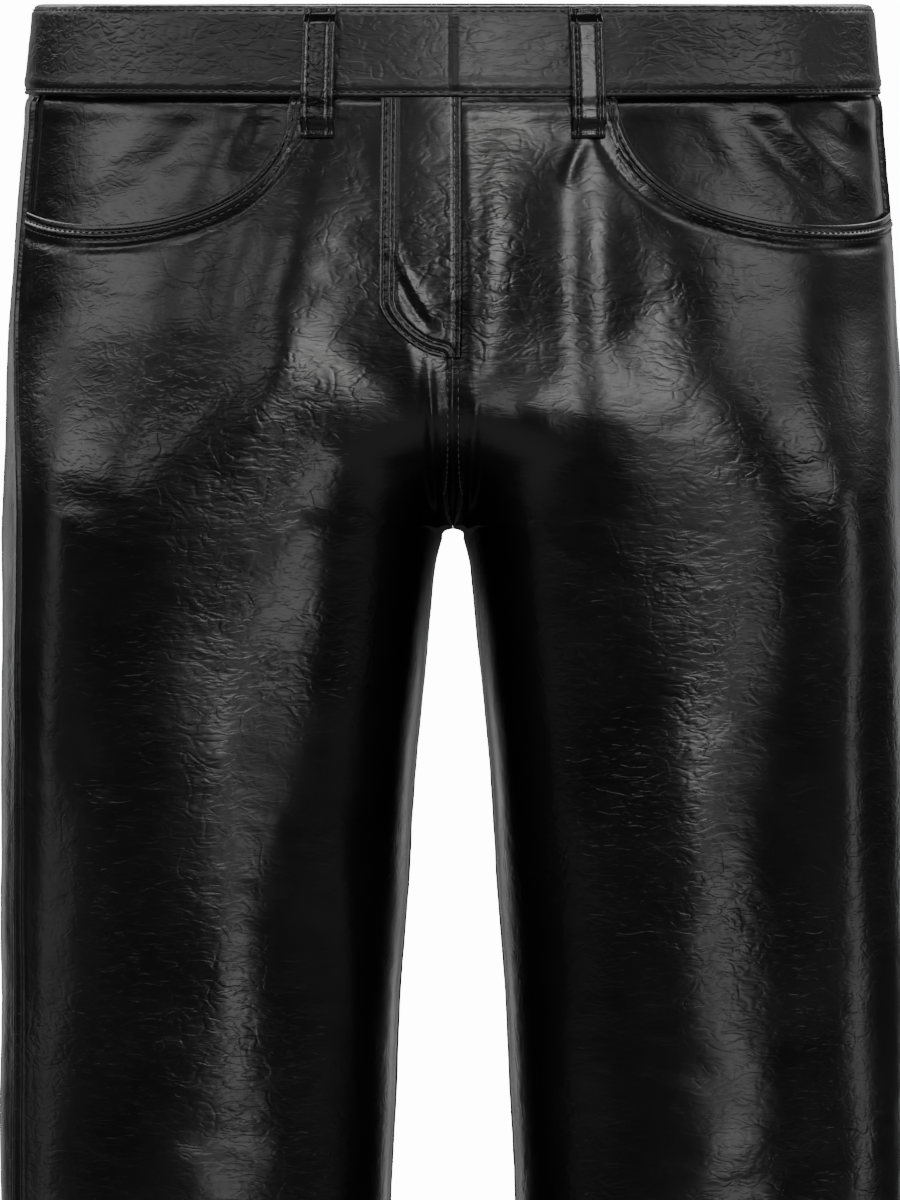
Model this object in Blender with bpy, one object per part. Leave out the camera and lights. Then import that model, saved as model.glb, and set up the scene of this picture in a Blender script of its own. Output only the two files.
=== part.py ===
"""Vinyl trousers, filled out as if worn: hollow cloth walls, with the waist and both hems open.

Metres. +Z is up, -Y is the front and +X is the wearer's left. The origin is the middle of the
waistband's ring, half way up the band.

Every piece is a wall on one smooth form, and a place on that form has two numbers. "level" is
its height, except that near the waist the levels dip at the front and rise at the back.
"around" is 0 at the centre front and the inseam, 0.5 at the side, and 1 at the centre back and
the inseam again.
"""

import math

import bmesh
import bpy
import numpy as np

# Levels, from the top of the waistband to the hem
BAND_TOP = 0.0175
WAIST_SEAM = -0.0175
CROTCH = -0.1825
HEM = -0.9725
WAIST_TIP = 0.006
TIP_FADES_AT = -0.100

# Walls
WALL = 0.0012
BAND_WALL = 0.0024
BAND_PROUD = 0.0008
SEAM_GAP = 0.0003

# The form at a row of levels: how far it reaches to the side, the front and the back
SECTION_COLUMNS = ("level", "side", "front", "back")
SECTIONS = (
    (-0.9725, 0.1700, 0.0660, 0.0770),
    (-0.8000, 0.1705, 0.0680, 0.0740),
    (-0.6000, 0.1713, 0.0760, 0.0660),
    (-0.4400, 0.1720, 0.0880, 0.0580),
    (-0.3500, 0.1720, 0.0960, 0.0680),
    (-0.2500, 0.1720, 0.1020, 0.0850),
    (-0.1825, 0.1718, 0.1070, 0.1080),
    (-0.1340, 0.1710, 0.1110, 0.1250),
    (-0.0960, 0.1692, 0.1110, 0.1260),
    (-0.0580, 0.1664, 0.1080, 0.1180),
    (-0.0175, 0.1632, 0.1035, 0.1090),
    (0.0175, 0.1597, 0.1000, 0.1040),
)

# How square the sections are, where 0 is an ellipse
WAIST_FULLNESS = 0.12
FORK_FULLNESS = 0.40
KNEE_FULLNESS = 0.06
FULLER_BELOW = 0.010
FULLER_ABOVE = -0.340

# Where the trunk forks into two legs
FORK_HEIGHT_FRONT = 0.085
FORK_HEIGHT_BACK = 0.120
FORK_DEPTH = 0.090
FORK_ROUNDING = 1.0
FORK_TURNS_TO_BACK_AT = 0.35
FORK_TURNS_TO_BACK_OVER = 0.30
ARCH_RADIUS = 0.0055
ARCH_REACH = 0.012
LEG_GAP_TAPER = 0.0265
LEG_GAP_TAPER_LENGTH = 0.210

# Side seams, as places around the form
SIDE_SEAM_AROUND = {"left": 0.490, "right": 0.425}

# Pocket mouth: a cubic curve from the waist seam to the side seam
POCKET_START_AROUND = 0.122
POCKET_STEEP_AROUND = 0.134
POCKET_STEEP_LEVEL = -0.062
POCKET_LOW_AROUND = 0.215
POCKET_LOW_LEVEL = -0.079
POCKET_END_LEVEL = -0.0621
FACING_DEPTH = 0.0024
FACING_REACH_AROUND = 0.030
FACING_REACH_BELOW = 0.010

# Fly: a layer on the wearer's right front, past the centre by a lap
FLY_WALL = 0.0010
FLY_CLEAR = 0.0005
FLY_LAP_AROUND = -0.006
FLY_AROUND = 0.0525
FLY_FOOT_AROUND = 0.010
FLY_FOOT_LEVEL = -0.1203
FLY_CORNER_HEIGHT = 0.0203
FLY_CORNER_POWER = 1.6

# Belt loops
LOOP_WIDTH = 0.0125
LOOP_WALL = 0.0018
LOOP_STAND_OFF = 0.0030
LOOP_TOP_INSET = 0.001
LOOP_BELOW_SEAM = 0.0160
LOOP_TACK = 0.005
LOOPS = (
    ("belt_loop_front_left", "left", 0.099),
    ("belt_loop_front_right", "right", 0.099),
    ("belt_loop_back_left", "left", 0.720),
    ("belt_loop_back_right", "right", 0.720),
    ("belt_loop_centre_back", "left", 1.000),
)

# Largest folds: a ridge where height is over 0, a trough where it is under 0
FOLD_COLUMNS = ("side", "level_a", "around_a", "level_b", "around_b", "half_width", "height")
FOLDS = (
    # front of the trunk
    ("right", -0.040, 0.098, -0.150, 0.150, 0.010, 0.0022),
    ("right", -0.045, 0.130, -0.125, 0.200, 0.010, -0.0016),
    ("right", -0.060, 0.083, -0.125, 0.075, 0.009, -0.0018),
    ("left", -0.022, 0.038, -0.155, 0.030, 0.011, 0.0022),
    ("left", -0.024, 0.072, -0.130, 0.070, 0.009, -0.0024),
    ("left", -0.036, 0.094, -0.160, 0.110, 0.008, 0.0020),
    ("left", -0.050, 0.127, -0.140, 0.140, 0.010, -0.0016),
    ("left", -0.080, 0.187, -0.160, 0.200, 0.015, 0.0016),
    # front of the legs
    ("right", -0.240, 0.235, -0.440, 0.225, 0.018, 0.0024),
    ("left", -0.250, 0.240, -0.430, 0.235, 0.020, 0.0024),
    ("right", -0.430, 0.120, -0.480, 0.400, 0.012, -0.0022),
    ("left", -0.410, 0.400, -0.470, 0.110, 0.013, -0.0022),
    ("right", -0.855, 0.090, -0.895, 0.360, 0.012, -0.0024),
    ("left", -0.870, 0.360, -0.905, 0.100, 0.011, -0.0020),
    # below the seat
    ("right", -0.205, 0.960, -0.235, 0.640, 0.012, -0.0028),
    ("left", -0.200, 0.960, -0.245, 0.660, 0.013, -0.0026),
    ("right", -0.250, 0.930, -0.290, 0.720, 0.011, -0.0020),
    ("left", -0.262, 0.900, -0.285, 0.690, 0.012, -0.0018),
    # behind the knees
    ("right", -0.425, 0.620, -0.445, 0.920, 0.010, -0.0034),
    ("right", -0.470, 0.900, -0.495, 0.600, 0.012, -0.0030),
    ("left", -0.418, 0.930, -0.450, 0.640, 0.011, -0.0032),
    ("left", -0.468, 0.600, -0.500, 0.880, 0.011, -0.0032),
    # above the hems
    ("right", -0.840, 0.640, -0.880, 0.900, 0.013, -0.0024),
    ("left", -0.850, 0.900, -0.895, 0.620, 0.012, -0.0026),
)
FOLD_GIRTH = 0.450
FOLDS_END_BY_SEAM = 0.030

# Mesh density
LEG_ROWS = 12
FORK_ROWS = 7
HIP_ROWS = 7
YOKE_ROWS = 3
WAIST_COLUMNS = 7
POCKET_COLUMNS = 11
BACK_COLUMNS = 18
BAND_COLUMNS = 28
BAND_ROWS = 2
FACING_COLUMNS = 18
FACING_ROWS = 6
FACING_MOUTH_POINTS = 48
FLY_COLUMNS = 5
FLY_STRAIGHT_ROWS = 9
FLY_CORNER_ROWS = 6
LOOP_COLUMNS = 2
LOOP_ROWS = 13

SLOPE_STEP = 0.0002
NORMAL_CLEAR_OF_FORK = 0.004
WIDTH_MEASURED_UP_TO = 0.99
SHARP_DEGREES = 40

# How each kind of piece looks: how light it is, and how rough
BLUE_SHARE = 0.97
GLOSS_COAT = 0.5
PANEL_LOOK = (0.012, 0.26)
BAND_LOOK = (0.016, 0.30)
FACING_LOOK = (0.014, 0.30)
FLY_LOOK = (0.010, 0.26)
LOOP_LOOK = (0.012, 0.26)


def smooth_step(t):
    t = np.clip(t, 0.0, 1.0)
    return t * t * (3.0 - 2.0 * t)


def column(table, names, name):
    """One named column of a table, as numbers."""
    return np.array([row[names.index(name)] for row in table])


def section(level, name):
    """A smooth curve through one column of SECTIONS."""
    levels = column(SECTIONS, SECTION_COLUMNS, "level")
    values = column(SECTIONS, SECTION_COLUMNS, name)
    slopes = np.gradient(values, levels)
    level = np.clip(level, levels[0], levels[-1])
    i = np.clip(np.searchsorted(levels, level) - 1, 0, len(levels) - 2)
    span = levels[i + 1] - levels[i]
    t = (level - levels[i]) / span
    start = (1 + 2 * t) * (1 - t) ** 2 * values[i] + t * (1 - t) ** 2 * span * slopes[i]
    end = t * t * (3 - 2 * t) * values[i + 1] + t * t * (t - 1) * span * slopes[i + 1]
    return start + end


def leg_share(level, around):
    """1 on the legs and 0 on the trunk, smoothly. The fork reaches higher at the back."""
    to_back = smooth_step((around - FORK_TURNS_TO_BACK_AT) / FORK_TURNS_TO_BACK_OVER)
    reach = FORK_HEIGHT_FRONT + (FORK_HEIGHT_BACK - FORK_HEIGHT_FRONT) * to_back
    return 1.0 - smooth_step((level - CROTCH) / reach)


def fuller(depth, fullness):
    """Squares up an elliptical section, whose depth is 1 at its middle and 0 at its ends."""
    return depth * (1.0 + fullness * (1.0 - depth**2))


def change_down(level, top, bottom, at_top, at_bottom):
    """A value that changes smoothly from one level down to another."""
    return at_top + (at_bottom - at_top) * smooth_step((top - level) / (top - bottom))


def leg_arch(level):
    """A round arch between the legs, by which the inseam first moves aside."""
    in_arch = np.clip(1.0 - (CROTCH - level) / ARCH_RADIUS, 0.0, 1.0)
    return ARCH_RADIUS * np.sqrt(1.0 - in_arch**2)


def leg_taper(level):
    """Half of the space between the legs besides the arch: a slow taper."""
    drop = np.maximum(CROTCH - level, 0.0)
    return LEG_GAP_TAPER * (1.0 - np.exp(-drop / LEG_GAP_TAPER_LENGTH))


def plain_form(level, around):
    """The form without folds, on the wearer's left. Past the centre it is mirrored."""
    mirror = np.where(around < 0, -1.0, 1.0)
    around = np.abs(around)
    side = section(level, "side")
    front = section(level, "front")
    back = section(level, "back")
    gap = leg_taper(level)
    share = leg_share(level, around)
    turn = around * math.pi
    reach = (1 - share) * side / (1 + np.sin(turn)) + share * (side - gap)
    root = np.cos(turn) * np.sqrt(reach)
    x = side - root**2
    rounding = FORK_ROUNDING * np.maximum(level - CROTCH, 0.0)
    from_gap = np.maximum(np.hypot(x, rounding) - gap, 0.0)
    trunk_fullness = change_down(level, FULLER_BELOW, CROTCH, WAIST_FULLNESS, FORK_FULLNESS)
    leg_fullness = change_down(level, CROTCH, FULLER_ABOVE, FORK_FULLNESS, KNEE_FULLNESS)
    trunk = fuller(root * np.sqrt(side + x) / side, trunk_fullness)
    leg = fuller(root * np.sqrt(from_gap) * 2 / (side - gap), leg_fullness)
    depth = (1 - share) * trunk + share * leg
    x = x + leg_arch(level) * np.exp((gap - x) / ARCH_REACH) + SEAM_GAP / 2
    y = (back - front) / 2 - (back + front) / 2 * depth
    tip = smooth_step((level - TIP_FADES_AT) / (WAIST_SEAM - TIP_FADES_AT))
    z = level - WAIST_TIP * np.cos(turn) * tip
    return np.stack([mirror * x, y, z], axis=-1)


def normals(form, level, around):
    """Unit vectors that point out of a form."""
    clear = NORMAL_CLEAR_OF_FORK
    kept = np.clip(np.abs(around), clear, 1 - clear)
    across = form(level, kept + SLOPE_STEP) - form(level, kept - SLOPE_STEP)
    up = form(level + SLOPE_STEP, kept) - form(level - SLOPE_STEP, kept)
    out = np.cross(across, up)
    out /= np.linalg.norm(out, axis=-1, keepdims=True)
    out[..., 0] *= np.where(around < 0, -1.0, 1.0)
    return out


def fold_height(level, around, side):
    """How far the folds of one side lift the cloth. Past the centre the other side's folds count."""
    other = {"left": "right", "right": "left"}[side]
    here = np.where(around < 0, other, side)
    around = np.abs(around)
    total = np.zeros(np.shape(level))
    for row in FOLDS:
        fold = dict(zip(FOLD_COLUMNS, row))
        start = np.array([fold["around_a"] * FOLD_GIRTH, fold["level_a"]])
        along = np.array([fold["around_b"] * FOLD_GIRTH, fold["level_b"]]) - start
        length = np.linalg.norm(along)
        along /= length
        x = around * FOLD_GIRTH - start[0]
        z = level - start[1]
        place = np.clip((x * along[0] + z * along[1]) / length, 0.0, 1.0)
        off = (x * along[1] - z * along[0]) / fold["half_width"]
        shape = np.exp(-(off**2)) * (1.0 - (2 * place - 1) ** 2) ** 2
        total += np.where(here == fold["side"], fold["height"] * shape, 0.0)
    from_seam = np.minimum(around, 1.0 - around)
    return total * smooth_step(from_seam / FOLDS_END_BY_SEAM)


def form_with_folds(side):
    """The folded form of one side, before it is mirrored for the wearer's right."""

    def form(level, around):
        height = fold_height(level, around, side)
        return plain_form(level, around) + height[..., None] * normals(plain_form, level, around)

    return form


def half_gap_around(level, around):
    """Half of a seam's gap, as a share of the way around."""
    kept = np.clip(np.abs(around), NORMAL_CLEAR_OF_FORK, 1 - NORMAL_CLEAR_OF_FORK)
    across = plain_form(level, kept + SLOPE_STEP) - plain_form(level, kept - SLOPE_STEP)
    metres_around = np.linalg.norm(across, axis=-1) / (2 * SLOPE_STEP)
    return SEAM_GAP / 2 / metres_around


def curve_point(t, points):
    """A cubic curve through its first and last points."""
    weights = ((1 - t) ** 3, 3 * t * (1 - t) ** 2, 3 * t * t * (1 - t), t**3)
    return sum(w * p for w, p in zip(weights, points))


def pocket_mouth(t, side):
    """The pocket mouth's level and place around, from the waist seam to the side seam."""
    arounds = (
        POCKET_START_AROUND,
        POCKET_STEEP_AROUND,
        POCKET_LOW_AROUND,
        SIDE_SEAM_AROUND[side],
    )
    levels = (WAIST_SEAM, POCKET_STEEP_LEVEL, POCKET_LOW_LEVEL, POCKET_END_LEVEL)
    return curve_point(t, levels), curve_point(t, arounds)


def stations(*stretches):
    """Values at the rows of a grid: each stretch goes on from the last one's end."""
    joined = [stretches[0][:1]]
    joined += [stretch[1:] for stretch in stretches]
    return np.concatenate(joined)


def at(share, values):
    """Reads evenly numbered stations at a share of the way along them."""
    return np.interp(share * (len(values) - 1), np.arange(len(values)), values)


def bunched_down(start, end, rows):
    return end + (start - end) * np.linspace(1.0, 0.0, rows + 1) ** 2


def bunched_up(start, end, rows):
    return start + (end - start) * np.linspace(0.0, 1.0, rows + 1) ** 2


def leg_levels_at_inseam():
    top = CROTCH - FORK_DEPTH
    return stations(np.linspace(HEM, top, LEG_ROWS + 1), bunched_down(top, CROTCH, FORK_ROWS))


def leg_levels_at_side():
    top = CROTCH - FORK_DEPTH
    return stations(
        np.linspace(HEM, top, LEG_ROWS + 1), np.linspace(top, CROTCH, FORK_ROWS + 1)
    )


def front_chart(side):
    """Front leg panel. Its columns end on the waist seam and on the pocket mouth."""
    hip = CROTCH + FORK_HEIGHT_FRONT
    inner = stations(leg_levels_at_inseam(), bunched_up(CROTCH, hip, FORK_ROWS))
    outer = stations(leg_levels_at_side(), np.linspace(CROTCH, hip, FORK_ROWS + 1))
    rows = len(inner) - 1 + HIP_ROWS
    to_hip = (len(inner) - 1) / rows
    mouth_levels, mouth_arounds = pocket_mouth(np.linspace(0.0, 1.0, POCKET_COLUMNS + 1), side)
    waist = np.linspace(0.0, POCKET_START_AROUND, WAIST_COLUMNS + 1)
    top_arounds = stations(waist, mouth_arounds)
    top_levels = stations(np.full(WAIST_COLUMNS + 1, WAIST_SEAM - SEAM_GAP / 2), mouth_levels)

    def chart(u, v):
        below = np.clip(v / to_hip, 0.0, 1.0)
        above = np.clip((v - to_hip) / (1.0 - to_hip), 0.0, 1.0)
        level = at(below, inner) + (at(below, outer) - at(below, inner)) * smooth_step(u)
        level = level + (at(u, top_levels) - hip) * above
        even = u * SIDE_SEAM_AROUND[side]
        to_top = smooth_step((level - CROTCH) / (hip - CROTCH))
        around = even + (at(u, top_arounds) - even) * to_top
        gap = half_gap_around(level, around)
        around = around + gap * leg_share(level, around) * (1 - u) - gap * u
        return level, around

    return chart, WAIST_COLUMNS + POCKET_COLUMNS, rows


def back_chart(side):
    """Back leg panel, from the side seam to the centre back and the inseam."""
    seat = CROTCH + FORK_HEIGHT_BACK
    top = WAIST_SEAM - SEAM_GAP / 2
    inner = stations(
        leg_levels_at_inseam(),
        bunched_up(CROTCH, seat, FORK_ROWS),
        np.linspace(seat, top, HIP_ROWS + YOKE_ROWS + 1),
    )
    hip = CROTCH + FORK_HEIGHT_FRONT
    outer = stations(
        leg_levels_at_side(),
        np.linspace(CROTCH, hip, FORK_ROWS + 1),
        np.linspace(hip, POCKET_END_LEVEL, HIP_ROWS + 1),
        np.linspace(POCKET_END_LEVEL, top, YOKE_ROWS + 1),
    )

    def chart(u, v):
        level = at(v, outer) + (at(v, inner) - at(v, outer)) * smooth_step(u)
        seam = SIDE_SEAM_AROUND[side]
        around = seam + (1.0 - seam) * u
        gap = half_gap_around(level, around)
        around = around + gap * (1 - u) - gap * leg_share(level, around) * u
        return level, around

    return chart, BACK_COLUMNS, len(inner) - 1


def band_chart():
    """Half of the waistband, from the centre front to the centre back."""

    def chart(u, v):
        bottom = WAIST_SEAM + SEAM_GAP / 2
        return bottom + (BAND_TOP - bottom) * v, u

    return chart, BAND_COLUMNS, BAND_ROWS


def facing_chart(side):
    """Pocket facing: fills the scoop and reaches under the front panel."""
    mouth_levels, mouth_arounds = pocket_mouth(np.linspace(0.0, 1.0, FACING_MOUTH_POINTS), side)
    start = POCKET_START_AROUND - FACING_REACH_AROUND
    end = SIDE_SEAM_AROUND[side]
    top = WAIST_SEAM - SEAM_GAP / 2

    def chart(u, v):
        around = start + (end - start) * u
        beyond = np.minimum(around + FACING_REACH_AROUND, end)
        foot = np.interp(beyond, mouth_arounds, mouth_levels) - FACING_REACH_BELOW
        level = foot + (top - foot) * v
        return level, around - half_gap_around(level, around) * u

    return chart, FACING_COLUMNS, FACING_ROWS


def fly_chart():
    """Fly: its outer edge runs straight down, then turns in to the centre."""
    corner_top = FLY_FOOT_LEVEL + FLY_CORNER_HEIGHT
    levels = stations(
        bunched_up(FLY_FOOT_LEVEL, corner_top, FLY_CORNER_ROWS),
        np.linspace(corner_top, WAIST_SEAM - SEAM_GAP / 2, FLY_STRAIGHT_ROWS + 1),
    )

    def chart(u, v):
        level = at(v, levels)
        rise = np.clip((level - FLY_FOOT_LEVEL) / FLY_CORNER_HEIGHT, 0.0, 1.0)
        power = FLY_CORNER_POWER
        turn = (1.0 - (1.0 - rise) ** power) ** (1.0 / power)
        edge = FLY_FOOT_AROUND + (FLY_AROUND - FLY_FOOT_AROUND) * turn
        return level, FLY_LAP_AROUND + (edge - FLY_LAP_AROUND) * u

    return chart, FLY_COLUMNS, len(levels) - 1


def loop_chart(middle):
    """Belt loop: a strap down the band and past its seam."""
    foot = WAIST_SEAM - LOOP_BELOW_SEAM
    head = BAND_TOP - LOOP_TOP_INSET

    def chart(u, v):
        level = foot + (head - foot) * v
        measured_at = np.full_like(u, min(middle, WIDTH_MEASURED_UP_TO))
        metres_around = SEAM_GAP / 2 / half_gap_around(level, measured_at)
        return level, middle + LOOP_WIDTH * (u - 0.5) / metres_around

    return chart, LOOP_COLUMNS, LOOP_ROWS


def loop_lift(level):
    """The belt loop's outer face: tacked at both ends and clear of the band between."""
    foot = WAIST_SEAM - LOOP_BELOW_SEAM
    head = BAND_TOP - LOOP_TOP_INSET
    up = smooth_step((level - foot - LOOP_TACK / 2) / LOOP_TACK)
    down = smooth_step((head - LOOP_TACK / 2 - level) / LOOP_TACK)
    on_band = smooth_step((level - WAIST_SEAM + LOOP_TACK) / LOOP_TACK)
    return SEAM_GAP + LOOP_WALL + BAND_PROUD * on_band + LOOP_STAND_OFF * up * down


def vinyl(name, look):
    """Black coated cloth: very dark, not metal, with a gloss coat."""
    shade, roughness = look
    material = bpy.data.materials.new(name)
    material.use_nodes = True
    shader = material.node_tree.nodes["Principled BSDF"]
    shader.inputs["Base Color"].default_value = (shade, shade, shade * BLUE_SHARE, 1.0)
    shader.inputs["Metallic"].default_value = 0.0
    shader.inputs["Roughness"].default_value = roughness
    shader.inputs["Coat Weight"].default_value = GLOSS_COAT
    return material


def add_wall(name, side, layout, lift, thickness, material, collection):
    """A closed wall: a flat grid made two layers deep, then laid on the form."""
    chart, columns, rows = layout
    mesh = bmesh.new()
    bmesh.ops.create_grid(mesh, x_segments=columns, y_segments=rows, size=0.5)
    layer = bmesh.ops.extrude_face_region(mesh, geom=mesh.faces[:])
    inner = [item for item in layer["geom"] if isinstance(item, bmesh.types.BMVert)]
    bmesh.ops.translate(mesh, vec=(0.0, 0.0, 1.0), verts=inner)
    bmesh.ops.recalc_face_normals(mesh, faces=mesh.faces[:])

    flat = np.array([vertex.co[:] for vertex in mesh.verts])
    u = np.round((flat[:, 0] + 0.5) * columns) / columns
    v = np.round((flat[:, 1] + 0.5) * rows) / rows
    level, around = chart(u, v)
    form = form_with_folds(side)
    height = lift(level) if callable(lift) else lift
    out = height - thickness * np.round(flat[:, 2])
    places = form(level, around) + out[:, None] * normals(form, level, around)
    if side == "right":
        places[:, 0] *= -1
    for vertex, place in zip(mesh.verts, places):
        vertex.co = place
    if side == "left":
        # The inner layer lies against the outward direction, which turns the box inside out.
        # On the wearer's right the mirror turns it back.
        bmesh.ops.reverse_faces(mesh, faces=mesh.faces[:])

    data = bpy.data.meshes.new(name)
    mesh.to_mesh(data)
    mesh.free()
    data.shade_smooth()
    data.set_sharp_from_angle(angle=math.radians(SHARP_DEGREES))
    data.materials.append(material)
    piece = bpy.data.objects.new(name, data)
    collection.objects.link(piece)
    return piece


def add_leg_panels(side, collection):
    panel_vinyl = vinyl(f"panel_vinyl_{side}", PANEL_LOOK)
    back_vinyl = vinyl(f"back_vinyl_{side}", PANEL_LOOK)
    add_wall(f"front_{side}", side, front_chart(side), 0.0, WALL, panel_vinyl, collection)
    add_wall(f"back_{side}", side, back_chart(side), 0.0, WALL, back_vinyl, collection)


def add_waistband(side, collection):
    material = vinyl(f"band_vinyl_{side}", BAND_LOOK)
    add_wall(f"waistband_{side}", side, band_chart(), BAND_PROUD, BAND_WALL, material, collection)


def add_pocket_facing(side, collection):
    material = vinyl(f"facing_vinyl_{side}", FACING_LOOK)
    name = f"pocket_facing_{side}"
    add_wall(name, side, facing_chart(side), -FACING_DEPTH, WALL, material, collection)


def add_fly(collection):
    material = vinyl("fly_vinyl", FLY_LOOK)
    lift = FLY_CLEAR + FLY_WALL
    add_wall("fly", "right", fly_chart(), lift, FLY_WALL, material, collection)


def add_belt_loops(collection):
    for name, side, middle in LOOPS:
        material = vinyl(f"{name}_vinyl", LOOP_LOOK)
        add_wall(name, side, loop_chart(middle), loop_lift, LOOP_WALL, material, collection)


def clear_scene():
    for item in list(bpy.data.objects):
        bpy.data.objects.remove(item, do_unlink=True)


def main():
    clear_scene()
    collection = bpy.data.collections.new("vinyl_trousers")
    bpy.context.scene.collection.children.link(collection)
    for side in ("left", "right"):
        add_leg_panels(side, collection)
        add_waistband(side, collection)
        add_pocket_facing(side, collection)
    add_fly(collection)
    add_belt_loops(collection)


main()
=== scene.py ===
"""Black vinyl trousers, filled out as if worn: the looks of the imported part.

Metres. +Z is up, -Y is the front and +X is the wearer's left. Every piece is laid on one smooth
form, where a place has two numbers. "level" is its height, except that near the waist the levels
dip at the front and rise at the back. "around" is 0 at the centre front and the inseam, 0.5 at
the side, and 1 at the centre back and the inseam again.
"""

import math

import bpy
import numpy as np
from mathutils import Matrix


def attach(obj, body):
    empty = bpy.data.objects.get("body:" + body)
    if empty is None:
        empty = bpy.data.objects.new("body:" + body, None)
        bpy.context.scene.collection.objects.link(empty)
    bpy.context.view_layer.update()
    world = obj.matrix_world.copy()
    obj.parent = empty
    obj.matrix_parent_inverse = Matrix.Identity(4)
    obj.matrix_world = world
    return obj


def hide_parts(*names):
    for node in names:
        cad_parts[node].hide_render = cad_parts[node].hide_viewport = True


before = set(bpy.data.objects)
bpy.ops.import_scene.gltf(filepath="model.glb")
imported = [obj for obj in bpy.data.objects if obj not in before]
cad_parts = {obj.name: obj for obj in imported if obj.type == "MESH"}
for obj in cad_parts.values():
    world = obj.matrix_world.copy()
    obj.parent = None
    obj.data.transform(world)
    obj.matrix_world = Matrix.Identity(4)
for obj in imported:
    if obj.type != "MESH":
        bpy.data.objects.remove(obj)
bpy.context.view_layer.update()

# Levels, from the top of the waistband to the hem
BAND_TOP = 0.0175
WAIST_SEAM = -0.0175
CROTCH = -0.1825
HEM = -0.9725
WAIST_TIP = 0.006
TIP_FADES_AT = -0.100

# Cloth
CLOTH = 0.0011
HEM_CLOTH = 0.0021
HEM_DEPTH = 0.022
BAND_CLOTH = 0.0024
BAND_PROUD = 0.0008
BAND_ROLL = 0.0050
BAND_ROLL_SHARE = 0.6
BAND_WRINKLE_SHARE = 0.9
SEAM_GAP = 0.0003
SEAM_LAP = 0.0002
UNDER_BAND = 0.0008

# The form at a row of levels: how far it reaches to the side, the front and the back
SECTION_COLUMNS = ("level", "side", "front", "back")
SECTIONS = (
    (-0.9725, 0.1700, 0.0660, 0.0770),
    (-0.8000, 0.1705, 0.0680, 0.0740),
    (-0.6000, 0.1713, 0.0760, 0.0660),
    (-0.4400, 0.1720, 0.0880, 0.0580),
    (-0.3500, 0.1720, 0.0960, 0.0680),
    (-0.2500, 0.1720, 0.1020, 0.0850),
    (-0.1825, 0.1718, 0.1070, 0.1080),
    (-0.1340, 0.1710, 0.1110, 0.1250),
    (-0.0960, 0.1692, 0.1110, 0.1260),
    (-0.0580, 0.1664, 0.1080, 0.1180),
    (-0.0175, 0.1632, 0.1035, 0.1090),
    (0.0175, 0.1597, 0.1000, 0.1040),
)

# How square the sections are, where 0 is an ellipse
WAIST_FULLNESS = 0.12
FORK_FULLNESS = 0.40
KNEE_FULLNESS = 0.06
FULLER_BELOW = 0.010
FULLER_ABOVE = -0.340

# Where the trunk forks into two legs
FORK_HEIGHT_FRONT = 0.085
FORK_HEIGHT_BACK = 0.120
FORK_DEPTH = 0.090
FORK_ROUNDING = 1.0
FORK_TURNS_TO_BACK_AT = 0.35
FORK_TURNS_TO_BACK_OVER = 0.30
ARCH_RADIUS = 0.0055
ARCH_REACH = 0.012
LEG_GAP_TAPER = 0.0265
LEG_GAP_TAPER_LENGTH = 0.210

# Side seams, as places around the form
SIDE_SEAM_AROUND = {"left": 0.490, "right": 0.425}

# Pocket mouth: a cubic curve from the waist seam to the side seam
POCKET_START_AROUND = 0.122
POCKET_STEEP_AROUND = 0.134
POCKET_STEEP_LEVEL = -0.062
POCKET_LOW_AROUND = 0.215
POCKET_LOW_LEVEL = -0.079
POCKET_END_LEVEL = -0.0621
FACING_DEPTH = 0.0024
FACING_REACH_AROUND = 0.030
FACING_REACH_BELOW = 0.010
CENTRE_HELD = 0.010

# Fly: a layer on the wearer's right front, past the centre by a lap
FLY_CLOTH = 0.0010
FLY_LIFT = 0.0015
FLY_LAP_AROUND = -0.006
FLY_AROUND = 0.0525
FLY_FOOT_AROUND = 0.010
FLY_FOOT_LEVEL = -0.1203
FLY_CORNER_HEIGHT = 0.0203
FLY_CORNER_POWER = 1.6

# Belt loops
LOOP_WIDTH = 0.0125
LOOP_CLOTH = 0.0018
LOOP_STAND_OFF = 0.0030
LOOP_TOP_INSET = 0.001
LOOP_BELOW_SEAM = 0.0160
LOOP_TACK = 0.005
LOOP_TILT = {"left": 0.08, "right": -0.05}
LOOP_WRINKLE_SHARE = 0.5
LOOPS = (
    ("belt_loop_front_left", "left", 0.099),
    ("belt_loop_front_right", "right", 0.099),
    ("belt_loop_back_left", "left", 0.720),
    ("belt_loop_back_right", "right", 0.720),
    ("belt_loop_centre_back", "left", 1.000),
)

# Rows of stitches, in metres from the edges that they follow
POCKET_ROWS = (0.0028, 0.0060)
FLY_ROWS = (0.0018, 0.0050)
EDGE_ROW = 0.0022
BAND_TOP_ROW = 0.0025
LOOP_ROW = 0.0024
CENTRE_ROW = 0.0020
THREAD_LIFT = 0.0002
THREAD_SIDES = 6
ROWS_CLEAR_AROUND = 0.006
TACKS_CLEAR = 0.001

# What the sewing leaves in the cloth: how deep or high, and half how wide
SEAM_TURN = (0.0009, 0.0016)
SEAM_SWELL = (0.0003, 0.0030)
SEAM_SWELL_AT = 0.0060
INSEAM_RIDGE = (0.0008, 0.0014)
SIDE_RIDGE = (0.0005, 0.0014)
SEAM_RIDGE_AT = 0.0034
INSEAM_RIDGE_FROM = -0.150
INSEAM_RIDGE_FADE = 0.030
MOUTH_GROOVE = (0.00045, 0.0007)
MOUTH_RIDGE = (0.0006, 0.0018)
MOUTH_RIDGE_AT = 0.0044
MOUTH_HOLLOW = (0.0006, 0.0018)
MOUTH_HOLLOW_AT = 0.0095
HEM_GROOVE = (0.0005, 0.0010)
BAND_EDGE_GROOVE = (0.0005, 0.0007)
BAND_TOP_GROOVE = (0.0003, 0.0007)
BAND_RIDGE = (0.0004, 0.0018)
BAND_END_TURN = (0.0006, 0.0010)
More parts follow.
